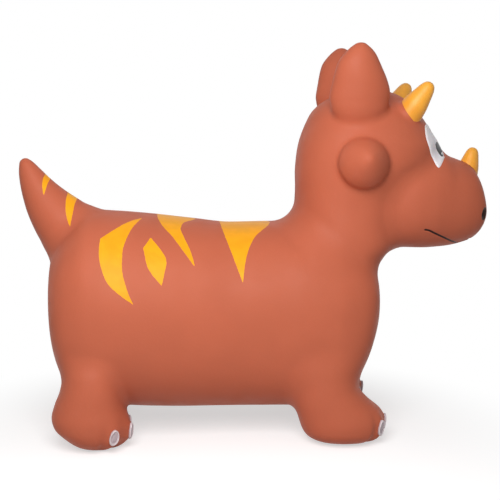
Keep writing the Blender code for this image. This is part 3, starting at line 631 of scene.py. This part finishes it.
def outline_distance(outline, pixels):
    """Signed distance in pixels from each pixel to a closed outline, negative inside it."""
    outline = np.asarray(outline, float)
    nearest = np.full(len(pixels), np.inf)
    inside = np.zeros(len(pixels), bool)
    for start, end in zip(outline, np.roll(outline, -1, axis=0)):
        run = end - start
        nearest = np.minimum(nearest, line_gaps(pixels, start, end))
        crosses = (start[1] > pixels[:, 1]) != (end[1] > pixels[:, 1])
        level = run[1] if run[1] else 1.0
        meets = start[0] + (pixels[:, 1] - start[1]) * run[0] / level
        inside ^= crosses & (pixels[:, 0] < meets)
    return np.where(inside, -nearest, nearest)


class Flex(namedtuple("Flex", "name body nodes direction start end low high")):
    """A stretch of skin that bends between two bodies. Inside a box it is cut off by the plane square to
    direction at start; its body and end are not used here."""

    def boxed(self, points):
        return ((points > self.low) & (points < self.high)).all(axis=1)

    def holds(self, points):
        return self.boxed(points) & (points @ self.direction > self.start)


def make_flexes():
    root = float(np.dot(TAIL_PIVOT, TAIL_WAY))
    bend = [root + distance for distance in TAIL_BEND]
    stretches = [("tail", "tail", ["tail_skin"], TAIL_WAY, bend, *TAIL_BOX)]
    for side_name, side in SIDES.items():
        box_y = sorted((0, side))
        ear = f"ear_{side_name}"
        way = EAR_WAY * np.array((1, side, 1))
        stretches.append((ear, f"{side_name}_ear", [ear], way, EAR_BEND, *zip(EAR_BOX_X, box_y, EAR_BOX_Z)))
        for legs in LEGS:
            corner = f"{legs.end}_{side_name}"
            nodes = [f"leg_{corner}", f"foot_{corner}"]
            way = legs.way * np.array((1, side, 1))
            box = zip(legs.box_x, box_y, LEG_BOX_Z)
            stretches.append((nodes[0], f"{corner}_foot", nodes, way, legs.bend, *box))
    return [
        Flex(name, body, nodes, np.array(way) / np.linalg.norm(way), *bend, low, high)
        for name, body, nodes, way, bend, low, high in stretches
    ]


class Marks:
    """Where the painted marks lie: signed distances in metres, negative inside a mark."""

    def __init__(self, tree):
        self.stripes = [curved_outline(outline) for outline in STRIPES]
        self.nostril, self.nostril_out = (found[0] for found in self.seen(tree, [NOSTRIL_PIXEL]))
        mouth, _ = self.seen(tree, MOUTH_PIXELS)
        under = [tree.ray_cast((x, y, 0), (0, 0, 1))[0] for x, y in MOUTH_UNDER_PLACES]
        self.mouth = smooth_path(np.array(list(mouth) + under), MOUTH_STEPS)
        outer, outward = self.seen(tree, EYE_PIXELS)
        inner = [tree.ray_cast((FRONT_START, -y, z), (-1, 0, 0))[0] for y, z in EYE_INNER_PLACES]
        outline = np.array(list(outer) + inner)
        self.eye_middle = outline.mean(axis=0)
        self.eye_axes = flat_axes(outward.mean(axis=0))
        outlines = {"eye": outline}
        for name, pixels in (("pupil", PUPIL_PIXELS), ("glint", GLINT_PIXELS)):
            outlines[name] = self.seen(tree, pixels)[0]
        self.eye = {name: self.on_eye(closed_path(points, EYE_STEPS)) for name, points in outlines.items()}

    @staticmethod
    def seen(tree, pixels):
        """Points and normals of the skin under pixels of the photograph, or nearest to them."""
        place, right, up, ahead = camera_axes()
        hits = []
        reach = CAMERA_DISTANCE
        for across, down in (np.reshape(pixels, (-1, 2)) / PHOTO_PIXELS - 0.5) * SENSOR / LENS:
            way = (ahead + right * across - up * down).normalized()
            point, normal, _, distance = tree.ray_cast(place, way)
            if point is None:
                point, normal, _, _ = tree.find_nearest(place + way * reach)
            else:
                reach = distance
            hits.append((point, normal))
        return [np.array(found) for found in zip(*hits)]

    def stripe(self, points):
        pixels = photo_pixels(points)
        nearest = np.full(len(points), FAR_MARK)
        for outline in self.stripes:
            low = np.min(outline, axis=0) - STRIPE_MARGIN
            high = np.max(outline, axis=0) + STRIPE_MARGIN
            near = ((pixels > low) & (pixels < high)).all(axis=1)
            nearest[near] = np.minimum(nearest[near], outline_distance(outline, pixels[near]) * PIXEL_SIZE)
        return nearest

    def on_eye(self, points):
        away = points - self.eye_middle
        return np.stack([away @ axis for axis in self.eye_axes], axis=1)

    def eye_mark(self, outline, points):
        folded = near_side(points)
        result = np.full(len(points), FAR_MARK)
        near = lengths(folded - self.eye_middle) < EYE_REACH
        result[near] = np.minimum(outline_distance(outline, self.on_eye(folded[near])), FAR_MARK)
        return result

    def nostrils(self, points):
        """Distance to the edge of an oval in the plane that touches the nose."""
        away = near_side(points) - self.nostril
        flat = np.stack([away @ axis for axis in flat_axes(self.nostril_out)], axis=1)
        distance = (lengths(flat / np.array(NOSTRIL_HALF)) - 1) * min(NOSTRIL_HALF)
        distance = np.minimum(distance, FAR_MARK)
        return np.where(lengths(away) < 3 * NOSTRIL_HALF[1], distance, FAR_MARK)

    def mouth_line(self, points):
        """Distance to the middle of the mouth's line, less half its width."""
        result = np.full(len(points), FAR_MARK)
        near = (points[:, 0] > MOUTH_LOW_X) & (points[:, 2] < MOUTH_HIGH_Z) & (points[:, 2] > MOUTH_LOW_Z)
        folded = near_side(points[near])
        gaps = [line_gaps(folded, start, end) for start, end in zip(self.mouth, self.mouth[1:])]
        result[near] = np.minimum(np.min(gaps, axis=0) - MOUTH_HALF_WIDTH, FAR_MARK)
        return result

    def all_of(self, points):
        values = {name: self.eye_mark(outline, points) for name, outline in self.eye.items()}
        others = {"stripe": self.stripe, "nostril": self.nostrils, "mouth": self.mouth_line}
        return values | {name: distances(points) for name, distances in others.items()}


def flat_axes(outward):
    level = np.cross(outward, (0, 0, 1))
    level /= np.linalg.norm(level)
    upright = np.cross(level, outward)
    return level, upright / np.linalg.norm(upright)


def smooth_path(points, steps):
    along = np.concatenate([[0], np.cumsum(lengths(np.diff(points, axis=0)))])
    table = np.column_stack([along, points])
    return smooth_curve(along, table, np.linspace(0, along[-1], steps))[:, 1:]


def closed_path(points, steps):
    at = np.arange(steps) * len(points) / steps
    index = at.astype(int)
    before, here, after, last = (points[(index + shift) % len(points)] for shift in (-1, 0, 1, 2))
    return cubic((at - index)[:, None], here, (after - before) / 2, after, (last - here) / 2)


def eased(values, low, high):
    """A smooth step from 0 at low to 1 at high."""
    share = np.clip((values - low) / (high - low), 0, 1)
    return share * share * (3 - 2 * share)


def toe_rise(points):
    """How far the toe ends of the feet swell between the folds beside each claw."""
    rise = np.zeros(len(points))
    low = 1 - eased(points[:, 2], *TOE_Z)
    for legs in LEGS:
        away = np.stack([points[:, 0] - legs.paw_x, np.abs(points[:, 1]) - LEG_Y], axis=1)
        turn = (np.arctan2(away[:, 1], away[:, 0]) - legs.toe_out) / legs.claw_turn
        near = eased(lengths(away), *TOE_REACH) * eased(-np.abs(away[:, 0]), *TOE_AHEAD)
        fan = 1 - eased(np.abs(turn), *TOE_FAN_TURNS)
        rise += TOE_DEPTH * (np.cos(turn * 2 * pi) - 1) / 2 * near * low * fan
    return rise


def carved(points, normals, marks):
    """Points with the eyes raised and the nostrils, mouth and toes pressed in."""
    values = marks.all_of(points)
    rise = toe_rise(points)
    for name, height, inner, outer in FACE_RISES:
        rise += height * (1 - eased(values[name], inner, outer))
    moved = points + normals * rise[:, None]
    moved[:, 2] = np.maximum(moved[:, 2], 0)
    return moved


def point_array(mesh, name="co"):
    values = np.zeros(len(mesh.vertices) * 3)
    mesh.vertices.foreach_get(name, values)
    return values.reshape(-1, 3)


def plain_mesh(name, points, faces):
    mesh = bpy.data.meshes.new(name)
    mesh.from_pydata(np.asarray(points).tolist(), [], faces)
    return mesh


@contextmanager
def edited(mesh):
    form = bmesh.new()
    form.from_mesh(mesh)
    yield form
    form.to_mesh(mesh)
    form.free()


def keep_values(mesh, name, values):
    """Keeps a number for each point of a mesh, for its material."""
    layer = mesh.attributes.new(name, "FLOAT", "POINT")
    layer.data.foreach_set("value", np.asarray(values, np.float32))


def refine(mesh, wanted):
    flags = wanted(point_array(mesh))
    with edited(mesh) as form:
        edges = [edge for edge in form.edges if flags[edge.verts[0].index] and flags[edge.verts[1].index]]
        bmesh.ops.subdivide_edges(form, edges=edges, cuts=1, use_grid_fill=True)


def cut_at(form, flex):
    every = list(form.faces)
    centres = np.array([face.calc_center_median() for face in every])
    close = np.abs(centres @ flex.direction - flex.start) < CUT_VOXELS * VOXEL
    faces = pick(every, close & flex.boxed(centres))
    edges = {edge for face in faces for edge in face.edges}
    verts = {vert for face in faces for vert in face.verts}
    bmesh.ops.bisect_plane(
        form, geom=faces + list(edges) + list(verts), dist=CUT_SNAP,
        plane_co=flex.direction * flex.start, plane_no=flex.direction,
    )


def make_whole_skin(field, flexes):
    """The moulded skin, with its face carved and the edges of its flexible stretches cut in."""
    points, quads = field.surface()
    points = field.settled(points)
    tree = BVHTree.FromPolygons(points.tolist(), quads.tolist())
    marks = Marks(tree)
    mesh = plain_mesh("whole_skin", points, quads.tolist())

    def near_marks(places):
        return np.min(np.abs(list(marks.all_of(places).values())), axis=0) < STRIPE_BAND

    def near_face_marks(places):
        values = marks.all_of(places)
        edges = [np.abs(values[name]) for name in ("eye", "pupil", "glint", "mouth")]
        return np.min(edges + [values["nostril"] - STRIPE_BAND], axis=0) < FACE_BAND

    refine(mesh, near_marks)
    refine(mesh, near_face_marks)
    mesh.vertices.foreach_set("co", field.settled(point_array(mesh)).ravel())
    mesh.update()
    moved = carved(point_array(mesh), point_array(mesh, "normal"), marks)
    mesh.vertices.foreach_set("co", moved.ravel())
    with edited(mesh) as form:
        for flex in flexes:
            cut_at(form, flex)
    mesh.update()
    return mesh, marks.all_of(point_array(mesh))


def make_skin_piece(name, whole, faces, values, material):
    """A piece of the skin, shaded as the whole was."""
    used = sorted({index for face in faces for index in face})
    new_index = {old: new for new, old in enumerate(used)}
    points = point_array(whole)[used]
    normals = point_array(whole, "normal")[used]
    mesh = plain_mesh(name, points, [[new_index[index] for index in face] for face in faces])
    mesh.shade_smooth()
    mesh.normals_split_custom_set_from_vertices(normals.tolist())
    for mark, distances in values.items():
        keep_values(mesh, mark, distances[used])
    return add_piece(name, mesh, material)


def add_item(name, data):
    item = bpy.data.objects.new(name, data)
    bpy.context.scene.collection.objects.link(item)
    return item


def add_piece(name, mesh, material):
    mesh.materials.append(material)
    return add_item(name, mesh)


def make_skin(field, material):
    flexes = make_flexes()
    whole, values = make_whole_skin(field, flexes)
    faces = [tuple(polygon.vertices) for polygon in whole.polygons]
    middles = np.array([polygon.center for polygon in whole.polygons])
    tree = BVHTree.FromPolygons(point_array(whole).tolist(), faces)
    labels = np.full(len(faces), -1)
    for number, flex in enumerate(flexes):
        labels[flex.holds(middles)] = number
    valve_gap = lengths(middles[:, :2] - np.array(VALVE_CENTRE)[:2])
    labels[(valve_gap < VALVE_HOLE_RADIUS) & (middles[:, 2] < VALVE_CENTRE.z + VOXEL)] = -2
    main = make_skin_piece("skin_main", whole, pick(faces, labels == -1), values, material)
    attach(main, "body")
    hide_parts("torso_skin", "head_skin", "cheek_knob_left", "cheek_knob_right")
    for number, flex in enumerate(flexes):
        piece = make_skin_piece(f"skin_{flex.name}", whole, pick(faces, labels == number), values, material)
        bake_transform(piece)
        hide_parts(*flex.nodes)
    bpy.data.meshes.remove(whole)
    return tree


def pick(faces, wanted):
    return [face for face, keep in zip(faces, wanted) if keep]


def horn_places():
    for name, node, base, lean, splay, *size in HORNS:
        axis = Vector((tan(radians(lean)), tan(radians(splay)), 1)).normalized()
        yield name, node, Vector(base), axis, *size


def cut_below(mesh, place, normal):
    with edited(mesh) as form:
        parts = [*form.verts, *form.edges, *form.faces]
        bmesh.ops.bisect_plane(form, geom=parts, plane_co=place, plane_no=normal, clear_inner=True)


def make_horn(name, node, base, axis, length, radius, material):
    """A round horn sunk in the skin, open at its hidden root, in yellow as far as its paint edge."""
    rings = cone_rings(
        base - axis * HORN_ROOT_DEPTH, axis, length + HORN_ROOT_DEPTH, HORN_SHARES, radius, HORN_RINGS,
        HORN_POINTS,
    )
    points, quads, triangles = loft(rings)
    top = triangles[HORN_POINTS:]
    mesh = plain_mesh(name, points, [*quads, *top])
    if node != "nose_horn":
        mirror = Vector((1, copysign(1, base.y), 1))
        cut_below(mesh, BROW_PAINT_EDGE * mirror, BROW_PAINT_NORMAL * mirror)
    mesh.shade_smooth()
    keep_values(mesh, "height", (point_array(mesh) - np.array(base)) @ np.array(axis))
    horn = add_piece(name, mesh, material)
    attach(horn, "body")
    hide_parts(node)


def make_claws(tree, material):
    """Raised ovals with a rim, counted from the inner one of each foot."""
    for legs in LEGS:
        for side_name, side in SIDES.items():
            corner = f"{legs.end}_{side_name}"
            middle = Vector((legs.paw_x, side * LEG_Y, CLAW_Z))
            for i in range(CLAW_COUNT):
                turn = side * ((i - (CLAW_COUNT - 1) / 2) * legs.claw_turn + legs.toe_out)
                out = Vector((cos(turn), sin(turn), 0))
                claw = make_claw(f"nail_{corner}_{i + 1}", tree, middle, out, legs.length, material)
                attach(claw, f"{corner}_foot")
                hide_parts(f"claw_{corner}_{i + 1}")


def circle(count):
    return [(cos(2 * pi * i / count), sin(2 * pi * i / count)) for i in range(count)]


def make_claw(name, tree, middle, out, reach, material):
    across = Vector((-out.y, out.x, 0))
    table = np.array(CLAW_RISES)
    outward = np.linspace(0, 1, CLAW_RINGS + 1)[1:]
    rises = smooth_curve(table[:, 0], table, outward)[:, 1]
    spots = [(0.0, 0.0, CLAW_RISES[0][1])]
    for size, rise in zip(outward, rises):
        spots += [(size * level, size * upright, rise) for level, upright in circle(CLAW_POINTS)]
    points = []
    for level, upright, rise in spots:
        aside = across * level * CLAW_WIDTH / 2 + Vector((0, 0, upright * CLAW_HEIGHT / 2))
        place, normal, _, _ = tree.ray_cast(middle + out * reach + aside, -out)
        points.append(place + normal * rise)
    faces = fan_faces(0, 1, CLAW_POINTS)
    for high in range(1, (CLAW_RINGS - 1) * CLAW_POINTS, CLAW_POINTS):
        faces += band_faces(high + CLAW_POINTS, high, CLAW_POINTS)
    mesh = plain_mesh(name, points, faces)
    mesh.shade_smooth()
    keep_values(mesh, "height", [rise for _, _, rise in spots])
    return add_piece(name, mesh, material)


def make_valve(seat_material, stopper_material):
    seat = make_turned("valve_ring", SEAT_PROFILE, True, seat_material)
    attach(seat, "body")
    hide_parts("valve_seat")
    stopper = make_turned("valve_stopper", STOPPER_PROFILE, False, stopper_material)
    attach(stopper, "stopper")
    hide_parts("valve_plug")


def make_turned(name, profile, ring, material):
    """A ring round the valve's axis, or a solid whose profile starts and ends on the axis."""
    count = VALVE_POINTS
    profile = np.array(profile) / PROFILE_PARTS
    body = profile if ring else profile[1:-1]
    points = []
    for radius, height in body:
        points += [VALVE_CENTRE + Vector((radius * x, radius * y, height)) for x, y in circle(count)]
    last = len(points) - count
    faces = band_faces(last, 0, count) if ring else []
    for low in range(0, last, count):
        faces += band_faces(low, low + count, count)
    if not ring:
        for row, (_, height) in ((0, profile[0]), (last, profile[-1])):
            faces += fan_faces(len(points), row, count)
            points.append(VALVE_CENTRE + Vector((0, 0, height)))
    mesh = plain_mesh(name, points, faces)
    with edited(mesh) as form:
        bmesh.ops.recalc_face_normals(form, faces=form.faces)
    mesh.shade_smooth()
    mesh.set_sharp_from_angle(angle=VALVE_CREASE)
    return add_piece(name, mesh, material)


class Shading:
    def __init__(self, owner):
        self.owner = owner
        owner.use_nodes = True
        self.tree = owner.node_tree

    @classmethod
    def material(cls, name):
        return cls(bpy.data.materials.new(name))

    def feed(self, socket, value):
        if isinstance(value, bpy.types.NodeSocket):
            self.tree.links.new(value, socket)
        elif value is not None:
            socket.default_value = value

    def node(self, kind, inputs=(), **settings):
        node = self.tree.nodes.new(kind)
        for key, value in settings.items():
            setattr(node, key, value)
        for key, value in dict(inputs).items():
            self.feed(node.inputs[key], value)
        return node

    def place(self):
        return self.node("ShaderNodeTexCoord").outputs["Object"]

    def mark(self, name):
        return self.node("ShaderNodeAttribute", attribute_name=name).outputs["Fac"]

    def noise(self, scale, detail=2.0, roughness=0.5):
        inputs = {"Vector": self.place(), "Scale": scale, "Detail": detail, "Roughness": roughness}
        return self.node("ShaderNodeTexNoise", inputs).outputs["Fac"]

    def span(self, value, low, high, to_low=0.0, to_high=1.0):
        inputs = {0: value, 1: low, 2: high, 3: to_low, 4: to_high}
        return self.node("ShaderNodeMapRange", inputs, interpolation_type="SMOOTHSTEP").outputs[0]

    def cloud(self, scale, detail, low, high):
        """A number that drifts between two over the surface."""
        return self.span(self.noise(scale, detail), *CLOUD_SPAN, low, high)

    def open_view_share(self):
        """1 for rays from the camera, a reflection or a clear piece."""
        path = self.node("ShaderNodeLightPath")
        total = path.outputs["Is Camera Ray"]
        for name in ("Is Glossy Ray", "Is Transmission Ray"):
            total = self.sum(total, path.outputs[name], "MAXIMUM")
        return total

    def sum(self, first, second, operation="ADD"):
        return self.node("ShaderNodeMath", {0: first, 1: second}, operation=operation).outputs[0]

    def times(self, first, second):
        return self.sum(first, second, "MULTIPLY")

    def mixed(self, share, low, high):
        """A colour between two, each a socket or three numbers."""
        low, high = (end if isinstance(end, bpy.types.NodeSocket) else (*end, 1) for end in (low, high))
        inputs = {0: share, 6: low, 7: high}
        return self.node("ShaderNodeMix", inputs, data_type="RGBA").outputs[2]

    def blended(self, share, low, high):
        return self.node("ShaderNodeMix", {0: share, 2: low, 3: high}, data_type="FLOAT").outputs[0]

    def bumped(self, height, distance, base=None):
        inputs = {"Strength": 1.0, "Distance": distance, "Height": height, "Normal": base}
        return self.node("ShaderNodeBump", inputs).outputs["Normal"]

    def grained(self, *layers):
        base = None
        for scale, depth in layers:
            base = self.bumped(self.noise(scale, 2), depth, base)
        return base

    def finish(self, shader="Principled BSDF", **sockets):
        for name, value in sockets.items():
            self.feed(self.tree.nodes[shader].inputs[name.replace("_", " ")], value)
        return self.owner


def tinted(nodes, colour, share, scale):
    """A colour with soft clouds of a slightly lighter and darker tone."""
    light = [min(1.0, value * (1 + share)) for value in colour]
    dark = [value * (1 - share) for value in colour]
    return nodes.mixed(nodes.cloud(scale, 2.0, 0.0, 1.0), dark, light)


def make_skin_material():
    """Satin soft PVC with fine grain, sprayed stripes and a painted face."""
    nodes = Shading.material("soft_pvc")
    colour = tinted(nodes, SKIN_COLOUR, 0.022, 18)
    speckle = nodes.span(nodes.noise(900, 1), 0.25, 0.75)
    colour = nodes.mixed(nodes.times(speckle, 0.06), colour, SKIN_DARK)
    wobble = nodes.times(nodes.sum(nodes.noise(260, 3), -0.5), 0.001)
    covers = {}
    for name, paint in (
        ("stripe", tinted(nodes, YELLOW_COLOUR, 0.05, 60)), ("eye", tinted(nodes, EYE_COLOUR, 0.02, 80)),
        ("pupil", PUPIL_COLOUR), ("glint", EYE_COLOUR), ("nostril", NOSTRIL_COLOUR), ("mouth", MOUTH_COLOUR),
    ):
        distance = nodes.mark(name)
        if name == "stripe":
            distance = nodes.sum(distance, wobble)
        covers[name] = nodes.span(distance, PAINT_FEATHER, -PAINT_FEATHER)
        colour = nodes.mixed(covers[name], colour, paint)
    roughness = nodes.blended(covers["stripe"], nodes.cloud(40, 4, 0.47, 0.57), 0.44)
    roughness = nodes.blended(covers["eye"], roughness, 0.34)
    film = covers["stripe"]
    for name in ("eye", "pupil", "mouth"):
        film = nodes.sum(film, covers[name])
    relief = nodes.bumped(film, 0.00005, nodes.grained((330, 0.0001), (1500, 0.00004)))
    return nodes.finish(
        Base_Color=colour, Roughness=roughness, Normal=relief, IOR=1.38, Specular_IOR_Level=0.22,
        Subsurface_Weight=0.06, Subsurface_Scale=0.003, Subsurface_Radius=(1.0, 0.4, 0.2),
    )


def make_horn_material():
    nodes = Shading.material("yellow_pvc")
    yellow = tinted(nodes, HORN_COLOUR, 0.05, 70)
    rise = nodes.sum(nodes.mark("height"), nodes.times(nodes.noise(200), 0.004))
    root = nodes.span(rise, 0.0, 0.012, 0.5, 0.0)
    colour = nodes.mixed(root, yellow, HORN_ROOT_COLOUR)
    return nodes.finish(
        Base_Color=colour, Roughness=nodes.cloud(60, 4, 0.38, 0.48),
        Normal=nodes.grained((380, 0.00012), (1500, 0.00004)), IOR=1.45, Subsurface_Weight=0.08,
        Subsurface_Scale=0.003, Subsurface_Radius=(1.0, 0.6, 0.1),
    )


def make_claw_material():
    nodes = Shading.material("claw_paint")
    white = tinted(nodes, CLAW_COLOUR, 0.03, 200)
    # Painted shade: the claw darkens towards grey-pink where it lies lower, inside its rim
    hollow_shade = nodes.span(nodes.mark("height"), 0.0021, 0.0008, 0.0, 0.75)
    colour = nodes.mixed(hollow_shade, white, CLAW_HOLLOW_SHADE_COLOUR)
    roughness = nodes.cloud(300, 3, 0.28, 0.4)
    return nodes.finish(
        Base_Color=colour, Roughness=roughness, Normal=nodes.grained((600, 0.00006)), IOR=1.5
    )


def make_plastic_material(name, colour, roughness):
    nodes = Shading.material(name)
    return nodes.finish(
        Base_Color=tinted(nodes, colour, 0.04, 150),
        Roughness=nodes.cloud(400, 3, roughness - 0.05, roughness + 0.06),
        Normal=nodes.grained((2200, 0.00003)), IOR=1.5, Subsurface_Weight=0.1, Subsurface_Scale=0.002,
        Subsurface_Radius=(1.0, 0.9, 0.8),
    )


def make_camera():
    place, _, _, ahead = camera_axes()
    data = bpy.data.cameras.new("photo_camera")
    data.lens = LENS
    data.sensor_width = SENSOR
    bpy.context.scene.camera = aimed("photo_camera", data, place, ahead)


def aimed(name, data, place, ahead):
    item = add_item(name, data)
    item.location = place
    item.rotation_mode = "QUATERNION"
    item.rotation_quaternion = ahead.to_track_quat("-Z", "Y")
    return item


def make_world():
    nodes = Shading(bpy.data.worlds.new("studio"))
    inputs = {"Value": nodes.open_view_share(), "To Min": AMBIENT_LEVEL, "To Max": 1}
    level = nodes.node("ShaderNodeMapRange", inputs).outputs[0]
    bpy.context.scene.world = nodes.finish("Background", Color=(1, 1, 1, 1), Strength=level)


def make_floor():
    """A plain white floor that keeps soft shadows near the toy and is plain white far away."""
    nodes = Shading.material("floor")
    ends = {0: nodes.place(), 1: SHADOW_MIDDLE}
    radius = nodes.node("ShaderNodeVectorMath", ends, operation="DISTANCE").outputs["Value"]
    far = nodes.span(radius, SHADOW_RADIUS, 2 * SHADOW_RADIUS)
    view = nodes.open_view_share()
    shown = nodes.times(view, nodes.blended(far, FLOOR_LIFT, 1.0))
    tint = nodes.mixed(nodes.times(far, view), FLOOR_COLOUR, (0, 0, 0))
    material = nodes.finish(
        Base_Color=tint, Roughness=0.9, Specular_IOR_Level=0.0, Emission_Color=(1, 1, 1, 1),
        Emission_Strength=shown,
    )
    corners = [(x * FLOOR_HALF, y * FLOOR_HALF, 0) for x, y in ((-1, -1), (1, -1), (1, 1), (-1, 1))]
    mesh = plain_mesh("floor", corners, [(0, 1, 2, 3)])
    floor = add_piece("floor", mesh, material)
    floor.location.z = -FLOOR_DROP


def main():
    make_camera()
    make_world()
    make_floor()
    for name, azimuth, elevation, distance, size, watts in LAMPS:
        data = bpy.data.lights.new(name, "AREA")
        data.energy = watts
        data.size = size
        toward = side_way(radians(azimuth) + CAMERA_AZIMUTH, radians(elevation))
        aimed(name, data, LIGHT_TARGET + toward * distance, -toward)
    bpy.context.scene.view_settings.view_transform = "Standard"
    tree = make_skin(make_skin_field(), make_skin_material())
    horn_material = make_horn_material()
    for place in horn_places():
        make_horn(*place, horn_material)
    make_claws(tree, make_claw_material())
    seat_material = make_plastic_material("valve_pvc", SEAT_COLOUR, 0.42)
    make_valve(seat_material, make_plastic_material("stopper_plastic", STOPPER_COLOUR, 0.36))


main()
